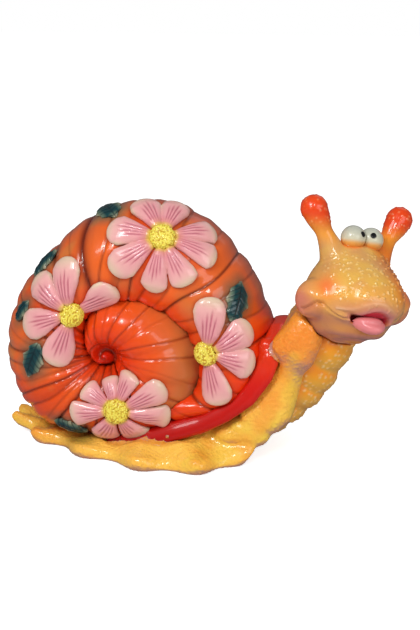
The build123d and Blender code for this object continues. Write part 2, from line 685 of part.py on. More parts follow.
def main():
    shell = build_shell()
    reliefs = build_flowers(shell)
    skull, lip = build_head()
    build_body(shell, reliefs, skull, lip)
    centre_assembly()
    os.makedirs("parts", exist_ok=True)
    for name, shape in nodes.items():
        export_step(shape, f"parts/{name}.step")
        box = shape.bounding_box()
        print(name, shape.is_valid, round(shape.volume), len(shape.solids()), box.min, box.max)


if __name__ == "__main__":
    main()
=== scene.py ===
# %% [markdown]
# # A painted garden snail
# The real object is a hollow cast, painted with an airbrush and dipped in clear lacquer.
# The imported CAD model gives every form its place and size. Here each form gets the soft,
# slightly swollen skin of a cast, the carved detail of its mould, and its paint.

# %% Load the frame
import math

import bmesh
import bpy
import numpy as np
from mathutils import Matrix, Vector
from mathutils.bvhtree import BVHTree
from mathutils.kdtree import KDTree


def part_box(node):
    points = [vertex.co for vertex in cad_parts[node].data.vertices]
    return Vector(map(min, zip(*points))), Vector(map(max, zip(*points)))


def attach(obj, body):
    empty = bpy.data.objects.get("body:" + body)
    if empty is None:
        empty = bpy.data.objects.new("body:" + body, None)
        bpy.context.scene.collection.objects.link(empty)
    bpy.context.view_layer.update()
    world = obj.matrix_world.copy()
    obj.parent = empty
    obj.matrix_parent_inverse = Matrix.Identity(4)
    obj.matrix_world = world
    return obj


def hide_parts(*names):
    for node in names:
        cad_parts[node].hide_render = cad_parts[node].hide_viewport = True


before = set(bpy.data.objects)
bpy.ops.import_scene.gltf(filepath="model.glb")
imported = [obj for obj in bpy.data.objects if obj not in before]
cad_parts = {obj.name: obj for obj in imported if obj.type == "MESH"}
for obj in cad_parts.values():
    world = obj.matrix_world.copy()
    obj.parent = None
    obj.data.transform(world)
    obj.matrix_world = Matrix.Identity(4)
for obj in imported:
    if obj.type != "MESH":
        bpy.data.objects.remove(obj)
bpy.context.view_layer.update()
scene = bpy.context.scene
scene.view_settings.view_transform = "Standard"
MM = 0.001
MERGE_GAP = 0.01 * MM
FAR = 9.0

# %% [markdown]
# Most of the carving fans out from the axis of the shell's coil, and the face has a frame
# of its own, turned to the viewer. Both come from the same drawing as the CAD, moved by
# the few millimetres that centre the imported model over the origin.

# %% Where the coil's axis and the face are
SHIFT = 2.47 * MM
COIL_X = -95.0 * MM + SHIFT
COIL_Z = 98.0 * MM
SHELL_REACH = 163.0 * MM
FACE_AT = Vector((144.5 * MM + SHIFT, -30.0 * MM, 165.0 * MM))
FACE_YAW, FACE_PITCH, FACE_ROLL = (math.radians(turn) for turn in (-53, 10, 12))


def face_axes():
    """Forward, left and up of the face as unit vectors."""
    level = Vector((math.cos(FACE_YAW), math.sin(FACE_YAW), 0))
    left = Vector((-math.sin(FACE_YAW), math.cos(FACE_YAW), 0))
    forward = level * math.cos(FACE_PITCH) + Vector((0, 0, math.sin(FACE_PITCH)))
    up = Vector((0, 0, math.cos(FACE_PITCH))) - level * math.sin(FACE_PITCH)
    up = up * math.cos(FACE_ROLL) + left * math.sin(FACE_ROLL)
    return forward, up.cross(forward), up


FACE = face_axes()
FACE_FRAME = Matrix.Translation(FACE_AT) @ Matrix(FACE).transposed().to_4x4()
print("coil axis at", COIL_X, COIL_Z, "and the face looks along", FACE[0])

# %% [markdown]
# A cast has no sharp joints: plaster rounds every edge a little. A voxel remesh gives a
# copy of the CAD form one even skin, and a few rounds of vertex smoothing relax its facets.
# That is quicker and closer to a cast than bevelling hundreds of edges by hand.

# %% A cast skin over the CAD forms
def new_object(name, mesh):
    piece = bpy.data.objects.new(name, mesh)
    scene.collection.objects.link(piece)
    return piece


SMOOTHING = 0.5


def relax(piece, rounds):
    bm = bmesh.new()
    bm.from_mesh(piece.data)
    for _ in range(rounds):
        bmesh.ops.smooth_vert(bm, verts=bm.verts, factor=SMOOTHING, use_axis_x=True,
                              use_axis_y=True, use_axis_z=True)
    bm.to_mesh(piece.data)
    bm.free()


def cast_skin(name, nodes, voxel, rounds, fills=()):
    """One even skin over copies of CAD nodes, with ellipsoid fills merged in at their joints."""
    bm = bmesh.new()
    for node in nodes:
        bm.from_mesh(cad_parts[node].data)
    bmesh.ops.remove_doubles(bm, verts=bm.verts, dist=MERGE_GAP)
    for place, radii, turned in fills:
        stretch = Matrix.Diagonal((*(Vector(radii) * MM), 1))
        spread = turned @ Matrix.Translation(Vector(place) * MM) @ stretch
        bmesh.ops.create_uvsphere(bm, u_segments=32, v_segments=16, radius=1, matrix=spread)
    rough = bpy.data.meshes.new(name + "_rough")
    bm.to_mesh(rough)
    bm.free()
    piece = new_object(name, rough)
    even = piece.modifiers.new("even_skin", "REMESH")
    even.mode = "VOXEL"
    even.voxel_size = voxel
    shown = piece.evaluated_get(bpy.context.evaluated_depsgraph_get())
    mesh = bpy.data.meshes.new_from_object(shown)
    piece.modifiers.clear()
    piece.data = mesh
    bpy.data.meshes.remove(rough)
    relax(piece, rounds)
    piece.data.shade_smooth()
    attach(piece, "root")
    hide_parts(*nodes)
    print(name, "has", len(mesh.vertices), "points")
    return piece


# %% [markdown]
# Carving is done the way a mould maker does it: points sink or rise along the surface's own
# normal. Masks saved on the points say where each paint goes, so the carving and the
# paint can never slide apart.

# %% Read, move and mark the points of a piece
def points(piece):
    flat = np.empty(len(piece.data.vertices) * 3)
    piece.data.vertices.foreach_get("co", flat)
    return flat.reshape(-1, 3)


def normals(piece):
    flat = np.empty(len(piece.data.vertices) * 3)
    piece.data.vertex_normals.foreach_get("vector", flat)
    return flat.reshape(-1, 3)


def place_points(piece, place):
    piece.data.vertices.foreach_set("co", place.ravel())
    piece.data.update()


def raise_points(piece, heights):
    """Move points outwards along their normals by heights in metres."""
    place_points(piece, points(piece) + normals(piece) * heights[:, None])


def swell(piece, height):
    raise_points(piece, np.full(len(piece.data.vertices), height))


def mark(piece, mask, values):
    layer = piece.data.attributes.get(mask) or piece.data.attributes.new(mask, "FLOAT", "POINT")
    layer.data.foreach_set("value", np.clip(values, 0, 1).astype(np.float32))


def masks_of(piece):
    return [layer.name for layer in piece.data.attributes if layer.data_type == "FLOAT"]


def smooth_step(values, low, high):
    share = np.clip((values - low) / (high - low), 0, 1)
    return share * share * (3 - 2 * share)


def soften(piece, values, rounds):
    """Average values over neighbouring points, several times over."""
    pairs = np.empty(len(piece.data.edges) * 2, dtype=np.int64)
    piece.data.edges.foreach_get("vertices", pairs)
    one, other = pairs[0::2], pairs[1::2]
    count = np.bincount(pairs, minlength=len(values)) + 1.0
    columns = values.reshape(len(values), -1)
    for _ in range(rounds):
        total = columns.copy()
        for axis in range(columns.shape[1]):
            total[:, axis] += np.bincount(one, columns[other, axis], len(values))
            total[:, axis] += np.bincount(other, columns[one, axis], len(values))
        columns = total / count[:, None]
    return columns.reshape(values.shape)


def hollow(piece, rounds):
    """Depth of each point below its softened surroundings, in metres; minus on a ridge."""
    place = points(piece)
    return np.einsum("ij,ij->i", soften(piece, place, rounds) - place, normals(piece))


def route_mask(place, route, width):
    """One on a polyline, fading over a width; the route's corners are in the place's frame."""
    best = np.full(len(place), FAR)
    for start, end in zip(route, route[1:]):
        start, end = np.array(start), np.array(end)
        run = end - start
        share = np.clip((place - start) @ run / (run @ run), 0, 1)
        best = np.minimum(best, np.linalg.norm(place - start - share[:, None] * run, axis=1))
    return np.exp(-(best / width) ** 2)


def closeness(piece, others, reach):
    """One on the points that touch other pieces, falling to zero at a distance of reach."""
    bm = bmesh.new()
    for other in others:
        bm.from_mesh(other.data)
    tree = BVHTree.FromBMesh(bm)
    bm.free()
    near = np.zeros(len(piece.data.vertices))
    for index, place in enumerate(points(piece)):
        found = tree.find_nearest(place, reach)
        if found[3] is not None:
            near[index] = 1 - found[3] / reach
    return near


CELL_MIX = np.array([127.1, 311.7, 74.7])
CELL_JITTER = ((0, 43758.5453), (1.7, 22578.145), (3.1, 19642.349))


def scatter(place, pitch, seed):
    """Distance from each point to the nearest of many scattered centres, as a share of pitch.

    Every cell of a grid holds one centre. The sine of the cell's number, times a large
    value, puts it at a spot that looks random and is the same in every run.
    """
    cell = np.floor(place / pitch)
    best = np.full(len(place), FAR)
    for dx in (-1, 0, 1):
        for dy in (-1, 0, 1):
            for dz in (-1, 0, 1):
                home = cell + np.array([dx, dy, dz])
                mix = home @ CELL_MIX + seed
                spots = [np.sin(mix + phase) * spread for phase, spread in CELL_JITTER]
                jitter = np.stack(spots, axis=1) % 1
                gap = np.linalg.norm(place / pitch - home - jitter, axis=1)
                best = np.minimum(best, gap)
    return best


# %% [markdown]
# Every finish on the snail is the same kind of thing: base coats blended with an airbrush,
# dark paint in the grooves, a few specks, and clear lacquer over all. One helper builds
# that stack. The tone mask picks a colour from a ramp, noise clouds it, and each further
# mask lays one more coat over it; some of these coats are painted shade. Patches are coats
# whose mask is a soft noise. The lacquer is the shader's coat. The paint below it has little
# shine of its own, so its colour stays full, and a fine ripple breaks up the highlights.

# %% Airbrushed paint under lacquer
def linear(code):
    """A six-letter sRGB code as the linear colour that sockets expect."""
    parts = [int(code[i:i + 2], 16) / 255 for i in (0, 2, 4)]
    return [*(p / 12.92 if p <= 0.04045 else ((p + 0.055) / 1.055) ** 2.4 for p in parts), 1]


PAINT_ROUGHNESS, PAINT_SHINE = 0.32, 0.2
LACQUER_WEIGHT, LACQUER_BLUR = 0.7, 0.08
CLOUD_SCALE = 28
PATCH_START, PATCH_FULL = 0.5, 0.66


def lacquered(name, tones, coats=(), cloud=0.12, patches=(), grain=0.05, grain_scale=600,
              grain_depth=0.4):
    material = bpy.data.materials.new(name)
    material.use_nodes = True
    tree = material.node_tree
    add = tree.nodes.new
    link = tree.links.new
    shader = tree.nodes["Principled BSDF"]
    shader.inputs["Roughness"].default_value = PAINT_ROUGHNESS
    shader.inputs["Specular IOR Level"].default_value = PAINT_SHINE
    shader.inputs["Coat Weight"].default_value = LACQUER_WEIGHT
    shader.inputs["Coat Roughness"].default_value = LACQUER_BLUR
    where = add("ShaderNodeTexCoord").outputs["Object"]

    def noise(scale, detail):
        texture = add("ShaderNodeTexNoise")
        texture.inputs["Scale"].default_value = scale
        texture.inputs["Detail"].default_value = detail
        link(where, texture.inputs["Vector"])
        return texture.outputs["Fac"]

    def mask(layer):
        reader = add("ShaderNodeAttribute")
        reader.attribute_name = layer
        return reader.outputs["Fac"]

    def sum_up(operation, *values):
        node = add("ShaderNodeMath")
        node.operation = operation
        for socket, value in zip(node.inputs, values):
            if isinstance(value, (int, float)):
                socket.default_value = value
            else:
                link(value, socket)
        return node.outputs[0]

    def lay(colour, amount, code):
        mixer = add("ShaderNodeMix")
        mixer.data_type = "RGBA"
        link(amount, mixer.inputs["Factor"])
        link(colour, mixer.inputs["A"])
        mixer.inputs["B"].default_value = linear(code)
        return mixer.outputs["Result"]

    drift = sum_up("MULTIPLY_ADD", noise(CLOUD_SCALE, 3), 2 * cloud, -cloud)
    clouded = sum_up("ADD", mask("tone"), drift)
    ramp = add("ShaderNodeValToRGB")
    link(clouded, ramp.inputs["Fac"])
    stops = ramp.color_ramp.elements
    while len(stops) < len(tones):
        stops.new(0.5)
    for stop, (place, code) in zip(stops, tones):
        stop.position = place
        stop.color = linear(code)
    colour = ramp.outputs["Color"]
    for code, scale, strength in patches:
        spread = add("ShaderNodeMapRange")
        spread.interpolation_type = "SMOOTHSTEP"
        spread.inputs["From Min"].default_value = PATCH_START
        spread.inputs["From Max"].default_value = PATCH_FULL
        spread.inputs["To Max"].default_value = strength
        link(noise(scale, 2), spread.inputs["Value"])
        colour = lay(colour, spread.outputs["Result"], code)
    for layer, code, strength in coats:
        colour = lay(colour, sum_up("MULTIPLY", mask(layer), strength), code)
    link(colour, shader.inputs["Base Color"])
    bump = add("ShaderNodeBump")
    bump.inputs["Strength"].default_value = grain
    bump.inputs["Distance"].default_value = grain_depth * MM
    link(noise(grain_scale, 2), bump.inputs["Height"])
    link(bump.outputs["Normal"], shader.inputs["Normal"])
    return material


def dress(piece, material):
    piece.data.materials.clear()
    piece.data.materials.append(material)


# %% [markdown]
# Both whorls carry growth ribs that fan out from the coil's axis. The wide ribs come from
# the CAD form. The narrow dark grooves are carved here, where the skin is fine enough:
# each lies on a plane through the axis and wanders a little, as a hand-cut line does.

# %% Lines that fan out from the coil's axis
BODY_START, BODY_PITCH = 225.0, 355.0 / 36
SPIRE_START, SPIRE_PITCH, SPIRE_SWEEP = -128.0, 353.0 / 24, -40
START_SLACK = 3
LINE_WANDER, WANDER_LENGTH, WANDER_PHASE = 1.4, 15 * MM, 2.3
FAINT_SHARE, FAINT_PHASE = 0.35, 4.1


def coil_turn(place, first):
    """Turn about the coil's axis in degrees, counted on from a first turn."""
    turn = np.degrees(np.arctan2(place[:, 2] - COIL_Z, -(place[:, 0] - COIL_X)))
    return (turn - first) % 360 + first


def coil_reach(place):
    return np.hypot(place[:, 0] - COIL_X, place[:, 2] - COIL_Z)


def fan_grooves(place, start, pitch, width, sweep=0.0):
    """One on lines that fan out from the coil's axis, fading over their width in metres."""
    reach = coil_reach(place)
    turn = coil_turn(place, start - START_SLACK) - start + sweep * (reach / SHELL_REACH) ** 2
    line = np.round(turn / pitch)
    turn = turn + LINE_WANDER * np.sin(reach / WANDER_LENGTH + line * WANDER_PHASE)
    off = (turn + pitch / 2) % pitch - pitch / 2
    arc = np.abs(np.radians(off)) * reach
    strength = 1 - FAINT_SHARE + FAINT_SHARE * np.sin(line * FAINT_PHASE)
    return np.exp(-(arc / width) ** 2) * strength


print("grooves", round(BODY_PITCH, 2), "and", round(SPIRE_PITCH, 2), "degrees apart")

# %% Carve the grooves of the outer whorl
GROOVE_WIDTH, GROOVE_DEPTH = 1.3 * MM, 1.5 * MM
outer_whorl = cast_skin("outer_whorl", ["body_whorl"], voxel=1.6 * MM, rounds=5)
inner_whorl = cast_skin("inner_whorl", ["spire_whorl"], voxel=1.3 * MM, rounds=10)
groove = fan_grooves(points(outer_whorl), BODY_START, BODY_PITCH, GROOVE_WIDTH)
raise_points(outer_whorl, -GROOVE_DEPTH * groove)
mark(outer_whorl, "groove", groove)

# %% [markdown]
# The inner whorl has a swirl of bent grooves that fade out towards its middle, where one
# line curls in like the snail's own first turn.

# %% Carve the swirl and the curl of the inner whorl
SWIRL_WIDTH, SWIRL_DEPTH = 1.1 * MM, 1.2 * MM
SWIRL_NONE, SWIRL_FULL = 8 * MM, 26 * MM
CURL_PITCH, CURL_SHARE, CURL_DEPTH = 9 * MM, 0.14, 1.6 * MM
CURL_FULL, CURL_NONE = 12 * MM, 24 * MM
place = points(inner_whorl)
swirl = fan_grooves(place, SPIRE_START, SPIRE_PITCH, SWIRL_WIDTH, sweep=SPIRE_SWEEP)
swirl *= smooth_step(coil_reach(place), SWIRL_NONE, SWIRL_FULL)
coil_step = (coil_reach(place) / CURL_PITCH - coil_turn(place, 0) / 360) % 1
curl = np.exp(-((coil_step - 0.5) / CURL_SHARE) ** 2)
curl *= 1 - smooth_step(coil_reach(place), CURL_FULL, CURL_NONE)
raise_points(inner_whorl, -SWIRL_DEPTH * swirl - CURL_DEPTH * curl)
mark(inner_whorl, "groove", np.maximum(swirl, curl))

# %% [markdown]
# Petals are low domes with four grooves that run together at the flower's heart. All the
# petals of a flower share one skin, and every point of it belongs to the petal of the
# CAD form that lies nearest. That petal's long axis runs from the flower's heart through
# its middle, so the grooves can follow it.

# %% Find the petals of a flower
def islands(mesh):
    """Corner points of each separate solid of a mesh."""
    bm = bmesh.new()
    bm.from_mesh(mesh)
    bmesh.ops.remove_doubles(bm, verts=bm.verts, dist=MERGE_GAP)
    left = set(bm.verts)
    groups = []
    while left:
        stack = [left.pop()]
        group = list(stack)
        while stack:
            for edge in stack.pop().link_edges:
                for vert in edge.verts:
                    if vert in left:
                        left.discard(vert)
                        stack.append(vert)
                        group.append(vert)
        groups.append(np.array([vert.co[:] for vert in group]))
    bm.free()
    return groups


def petal_axes(heart, corners):
    """Along and across for one petal, from its corner points."""
    middle = corners.mean(axis=0)
    along = middle - heart
    along /= np.linalg.norm(along)
    spread = np.linalg.svd(corners - middle, full_matrices=False)[2]
    up = spread[2] * np.sign(spread[2][1] * np.sign(middle[1]))
    up -= along * (up @ along)
    up /= np.linalg.norm(up)
    return along, np.cross(up, along)


print(len(islands(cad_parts["flower_1_petals"].data)), "petals on the first flower")

# %% Petals with carved grooves
PETAL_LINES = ((-0.5, 0.72), (-0.14, 0.86), (0.2, 0.78), (0.55, 0.66))
PETAL_LINE_SHARE = 0.07
PETAL_NECK_SHARE = 0.35
LINE_START, LINE_FULL, LINE_FADE = 0.04, 0.25, 0.25
RIM_FROM, HEART_GLOW_SHARE = 0.55, 0.3


def carve_petals(piece, node, heart):
    """Groove and tone masks for a flower's petals; the tone runs from the heart to the tips."""
    groups = islands(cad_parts[node].data)
    place = points(piece)
    petal_of = np.repeat(np.arange(len(groups)), [len(corners) for corners in groups])
    tree = KDTree(len(petal_of))
    for index, corner in enumerate(np.concatenate(groups)):
        tree.insert(corner, index)
    tree.balance()
    owner = petal_of[[tree.find(spot)[1] for spot in place]]
    grooves = np.zeros(len(place))
    tone = np.zeros(len(place))
    for number, corners in enumerate(groups):
        along, across = petal_axes(heart, corners)
        own = owner == number
        run = (place[own] - heart) @ along
        side = (place[own] - heart) @ across
        ends = (corners - heart) @ along
        span = (run - ends.min()) / (ends.max() - ends.min())
        half = np.abs((corners - heart) @ across).max()
        widening = PETAL_NECK_SHARE + (1 - PETAL_NECK_SHARE) * np.clip(span, 0, 1)
        fan = side / (half * widening)
        lines = np.zeros(own.sum())
        for line, reach in PETAL_LINES:
            stroke = np.exp(-((fan - line) / PETAL_LINE_SHARE) ** 2)
            stroke *= smooth_step(span, LINE_START, LINE_FULL)
            stroke *= 1 - smooth_step(span, reach - LINE_FADE, reach)
            lines = np.maximum(lines, stroke)
        grooves[own] = lines
        rim = RIM_FROM + (1 - RIM_FROM) * (np.abs(side) / half) ** 3
        tone[own] = np.clip(np.maximum(span, rim), 0, 1) * smooth_step(span, 0, HEART_GLOW_SHARE)
    return grooves, tone


FLOWERS = 7
PETAL_SWELL, PETAL_LINE_DEPTH = 0.7 * MM, 0.8 * MM
petals = []
for number in range(1, FLOWERS + 1):
    low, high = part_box(f"flower_{number}_centre")
    heart = np.array((low + high) / 2)
    node = f"flower_{number}_petals"
    piece = cast_skin(f"petals_{number}", [node], voxel=0.8 * MM, rounds=10)
    swell(piece, PETAL_SWELL)
    grooves, tone = carve_petals(piece, node, heart)
    raise_points(piece, -PETAL_LINE_DEPTH * grooves)
    mark(piece, "groove", grooves)
    mark(piece, "tone", tone)
    petals.append(piece)

# %% [markdown]
# The heart of each flower is a button of tiny grains. Scattered centres give the grains:
# a point rises the more, the nearer it is to one of them.

# %% Granular flower hearts
GRAIN_PITCH, GRAIN_HEIGHT = 1.8 * MM, 0.7 * MM
GRAIN_FULL, GRAIN_NONE = 0.3, 0.75
hearts = []
for number in range(1, FLOWERS + 1):
    piece = cast_skin(f"heart_{number}", [f"flower_{number}_centre"], voxel=0.5 * MM, rounds=4)
    grain = 1 - smooth_step(scatter(points(piece), GRAIN_PITCH, number), GRAIN_FULL, GRAIN_NONE)
    raise_points(piece, GRAIN_HEIGHT * grain)
    mark(piece, "tone", grain)
    hearts.append(piece)

# %% [markdown]
# Leaves are cut with a midrib and slanted side veins, and their edges stay pale where the
# dark paint was wiped off. A singular value decomposition of a leaf's points gives its
# long axis and its width, whichever way it lies on the shell.

# %% Leaves
LEAVES = 9
MIDRIB_WIDTH, VEIN_WIDTH, VEIN_PITCH, VEIN_SLANT = 0.7 * MM, 0.6 * MM, 6 * MM, 0.8
VEIN_DEPTH, VEIN_SHARE = 0.6 * MM, 0.8
leaves = []
for number in range(1, LEAVES + 1):
    piece = cast_skin(f"leaf_skin_{number}", [f"leaf_{number}"], voxel=0.7 * MM, rounds=2)
    place = points(piece)
    middle = place.mean(axis=0)
    spread = np.linalg.svd(place - middle, full_matrices=False)[2]
    run = (place - middle) @ spread[0]
    side = (place - middle) @ spread[1]
    midrib = np.exp(-(side / MIDRIB_WIDTH) ** 2)
    slant = (run + np.abs(side) * VEIN_SLANT) % VEIN_PITCH
    vein = np.exp(-((slant - VEIN_PITCH / 2) / VEIN_WIDTH) ** 2)
    raise_points(piece, -VEIN_DEPTH * np.maximum(midrib, VEIN_SHARE * vein))
    mark(piece, "groove", np.maximum(midrib, vein))
    rim = np.abs(side) / np.abs(side).max()
    ends = np.abs(run) / np.abs(run).max()
    mark(piece, "tone", np.maximum(rim, ends ** 2))
    leaves.append(piece)

# %% [markdown]
# The skirt, the sole and the collar are one ruffle of flesh, so they get one skin, and the
# head grows into its horns the same way. Where the real cast is fuller than its CAD form,
# small ellipsoids are merged in before the remesh: at the skirt's corner, on the lip, at
# both ends of the mouth and under the horns' knobs.

# %% Fills for the head
UNTURNED = Matrix.Identity(4)
FOREHEAD_FILL = ((6, 0, 44), (16, 22, 9), FACE_FRAME)
MOUTH_END_RADII = (8.5, 5.5, 6.5)
MOUTH_ENDS = ((24, -36, -11), (27.5, -31, -13.5), (31.5, -26.5, -15), (41.5, 14.5, -16.5),
              (38, 19, -16), (34, 24, -15), (29.5, 29.5, -14), (25, 35, -12))
HORN_BASE, HORN_TIP = Vector((0, 24, 40)), Vector((-5, 48.5, 81.5))
KNOB_NECK = ((0.86, 12.3), (0.76, 11.2), (0.67, 10), (0.58, 8.9))


def head_fills():
    """Forehead, both ends of the mouth's slot and the necks of the horns' knobs."""
    fills = [FOREHEAD_FILL]
    for spot in MOUTH_ENDS:
        fills.append((spot, MOUTH_END_RADII, FACE_FRAME))
    for side in (-1, 1):
        for share, radius in KNOB_NECK:
            ahead, aside, above = HORN_BASE.lerp(HORN_TIP, share)
            fills.append(((ahead, side * aside, above), (radius, radius, radius), FACE_FRAME))
    print(len(fills), "fills in the head")
    return fills


# %% Skins of the soft body
LIP_FILLS = [((68, -42, 117), (7, 7, 9), UNTURNED), ((71, -48, 106), (7, 7, 10), UNTURNED)]
SKIRT_FILLS = [((54, -48, 28), (20, 13, 13), UNTURNED), ((38, -42, 28), (24, 20, 12), UNTURNED),
               ((46, -47, 34), (16, 14, 12), UNTURNED)]
LOWER_LIP_FILLS = [((43, -6, -18.5), (13, 14, 5), FACE_FRAME)]
lip = cast_skin("rolled_lip", ["shell_lip"], voxel=1.2 * MM, rounds=24, fills=LIP_FILLS)
skirt = cast_skin("skirt", ["mantle_frill", "foot", "mantle_collar"],
                  voxel=1.5 * MM, rounds=16, fills=SKIRT_FILLS)
neck = cast_skin("ringed_neck", ["neck"], voxel=1.5 * MM, rounds=8)
head = cast_skin("head_skin", ["head", "tentacle_left", "tentacle_right"],
                 voxel=0.95 * MM, rounds=26, fills=head_fills())
mouth_lip = cast_skin("mouth_lip", ["lower_lip"], voxel=0.8 * MM, rounds=8, fills=LOWER_LIP_FILLS)
eyes, pupils = [], []
for side in ("left", "right"):
    eyes.append(cast_skin(f"eye_{side}", [f"eyeball_{side}"], voxel=0.7 * MM, rounds=2))
for side in ("left", "right"):
    pupils.append(cast_skin(f"pupil_dot_{side}", [f"pupil_{side}"], voxel=0.3 * MM, rounds=1))

# %% [markdown]
# The tip of the tail curls up from the ground. The skirt sinks a little where it passes
# under the shell's rolled lip, so the lip's edge stays clean. Small warts are geometry
# where they catch light, and the finest stipple is left to the lacquer's ripple.

# %% Tail, seat of the lip and warts
TAIL_RISE, TAIL_START, TAIL_END = 9 * MM, 160 * MM, 206 * MM
LIP_SEAT_REACH, LIP_SEAT_DEPTH, LIP_SWELL = 9 * MM, 2.5 * MM, 0.8 * MM
WART_FULL, WART_NONE = 0.12, 0.4


def add_warts(piece, pitch, height, seed, where=1.0):
    """Raise small round warts and mark their tops for a paler paint."""
    gap = scatter(points(piece), pitch, seed)
    wart = (1 - smooth_step(gap, WART_FULL, WART_NONE)) * where
    raise_points(piece, height * wart)
    mark(piece, "fleck", wart)
    print("warts on", piece.name, round(pitch / MM, 1), "mm apart")


place = points(skirt)
place[:, 2] += TAIL_RISE * smooth_step(-place[:, 0], TAIL_START, TAIL_END)
place_points(skirt, place)
seat = smooth_step(closeness(skirt, [lip], LIP_SEAT_REACH), 0.1, 0.7)
raise_points(skirt, -LIP_SEAT_DEPTH * seat)
swell(lip, LIP_SWELL)
add_warts(skirt, pitch=3.6 * MM, height=0.5 * MM, seed=3)
add_warts(neck, pitch=5.0 * MM, height=0.8 * MM, seed=7)

# %% [markdown]
# The face is carved in its own frame: forward, left and up. One crease starts under the
# cheek and runs into the mouth, a fold lies over the upper lip, and the open mouth is a
# pocket pushed straight back between them.

# %% Lines of the face
def face_place(piece):
    """Points of a piece as forward, left and up of the face."""
    return (points(piece) - np.array(FACE_AT)) @ np.array(FACE).T


def on_face(corners):
    return [[v * MM for v in corner] for corner in corners]


CHEEK_CREASE = on_face([(8, -58, -15.5), (15.4, -56.4, -13), (20, -54, -9.7), (23, -51, -6.5),
                        (25, -47, -6.5)])
SMILE = on_face([(24, -50, -6), (25.6, -43.7, -8.4), (28.4, -39.5, -12.4), (31.2, -34.3, -15.5),
                 (35.3, -29, -17.5), (40, -25, -18), (46, -20, -18)])
LIP_FOLD = on_face([(34.7, -36.3, -8.9), (40.6, -31.3, -9), (48.6, -25.8, -8), (55.5, -18.8, -4.1),
                    (58.8, -11.6, -1.4), (60.7, -1.9, -1.4), (59.3, 6.3, -5.4), (54, 15, -9)])
MOUTH_TOP = on_face([(42, -23, -17), (51.4, -17.2, -12.5), (54.9, -13.3, -10.1), (56.8, -9.3, -8.7),
                     (58.3, -3.7, -8.1), (57.7, 2.4, -9.5), (53.1, 10.5, -12.9), (51, 14, -17)])
MOUTH_FLOOR, MOUTH_FLOOR_FULL = -23 * MM, -19 * MM
MOUTH_CORNER = 3 * MM
MOUTH_BACK, MOUTH_FRONT = 20 * MM, 26 * MM
SMILE_DROP, SMILE_RISE, SMILE_HALF_WIDTH = 22 * MM, 16 * MM, 46 * MM


def inside_mouth(local):
    """One between the upper lip's edge and the bottom of the open mouth, on the muzzle's front."""
    ahead, aside, above = local.T
    edge = np.array(MOUTH_TOP)
    top = np.interp(aside, edge[:, 1], edge[:, 2])
    mask = smooth_step(top - above, -0.5 * MM, 2 * MM)
    mask *= smooth_step(above, MOUTH_FLOOR, MOUTH_FLOOR_FULL)
    mask *= smooth_step(aside, edge[0, 1], edge[0, 1] + MOUTH_CORNER)
    mask *= 1 - smooth_step(aside, edge[-1, 1] - MOUTH_CORNER, edge[-1, 1])
    return mask * smooth_step(ahead, MOUTH_BACK, MOUTH_FRONT)


def above_smile(local):
    """Height over the smile's curve, which climbs towards both cheeks."""
    return local[:, 2] + SMILE_DROP - SMILE_RISE * (local[:, 1] / SMILE_HALF_WIDTH) ** 2


print("open mouth", round((MOUTH_TOP[-1][1] - MOUTH_TOP[0][1]) / MM), "mm wide")

# %% Carve the face
CHIN_START, CHIN_FULL, CHIN_ROUNDS = 26 * MM, 36 * MM, 60
POCKET_DEPTH = 4 * MM
JAW_DEPTH, CHEEK_CREASE_DEPTH, SMILE_DEPTH, FOLD_HEIGHT = 1.5 * MM, 3 * MM, 1.8 * MM, 0.9 * MM
KNOB_WART_SHARE = 0.5
place = points(head)
chin = smooth_step(-face_place(head)[:, 2], CHIN_START, CHIN_FULL)
place += chin[:, None] * (soften(head, place, CHIN_ROUNDS) - place)
place_points(head, place)
local = face_place(head)
place_points(head, points(head) - POCKET_DEPTH * inside_mouth(local)[:, None] * np.array(FACE[0]))
ahead, aside, above = local.T
jaw = smooth_step(-above_smile(local), -1 * MM, 7 * MM) * smooth_step(ahead, -6 * MM, 12 * MM)
raise_points(head, FOLD_HEIGHT * route_mask(local, LIP_FOLD, 1.6 * MM) - JAW_DEPTH * jaw
             - CHEEK_CREASE_DEPTH * route_mask(local, CHEEK_CREASE, 2.6 * MM)
             - SMILE_DEPTH * route_mask(local, SMILE, 1.5 * MM))
muzzle = smooth_step(ahead, -4 * MM, 14 * MM) * smooth_step(above_smile(local), 8 * MM, 15 * MM)
muzzle *= 1 - smooth_step(-aside, 36 * MM, 44 * MM)
muzzle *= 1 - smooth_step(above, 40 * MM, 48 * MM)
knobs = KNOB_WART_SHARE * smooth_step(above, 62 * MM, 70 * MM)
add_warts(head, pitch=4.3 * MM, height=1.05 * MM, seed=9, where=np.maximum(muzzle, knobs))

# %% [markdown]
# Masks for the airbrush and for painted shade. Some paint gathers where two forms meet, and
# painted shade darkens other such joins, so the distance from each point to its neighbours
# is worked out once per piece and saved. Hollows and ridges are found by comparing the
# surface with a softened copy of itself, and the hollows get painted shade.

# %% Masks on the shell
SEAM_REACH, FLOWER_SHADE_REACH, HAZE_REACH = 34 * MM, 4 * MM, 13 * MM
STRIPE_WIDTH = 5 * MM
STRIPES_FROM, STRIPES_FULL, STRIPES_FADE, STRIPES_END = 405, 420, 462, 474
CREST_Y, CREST_HALF_WIDTH = 12 * MM, 46 * MM
SPIRE_REACH, LIP_ROUNDS = 105 * MM, 20
flowers = petals + hearts
place = points(outer_whorl)
turn = coil_turn(place, BODY_START)
stripes = fan_grooves(place, BODY_START, BODY_PITCH * 2, STRIPE_WIDTH)
stripes *= smooth_step(turn, STRIPES_FROM, STRIPES_FULL)
stripes *= 1 - smooth_step(turn, STRIPES_FADE, STRIPES_END)
mark(outer_whorl, "stripe", stripes * smooth_step(coil_reach(place), 60 * MM, 85 * MM))
mark(outer_whorl, "seam", closeness(outer_whorl, [inner_whorl, lip], SEAM_REACH))
# A darker red ring round each flower, on both whorls, is painted shade from the raised flowers.
mark(outer_whorl, "flower_shade", closeness(outer_whorl, flowers, FLOWER_SHADE_REACH))
mark(outer_whorl, "haze", closeness(outer_whorl, leaves, HAZE_REACH))
aside = np.abs(place[:, 1] - CREST_Y) / CREST_HALF_WIDTH
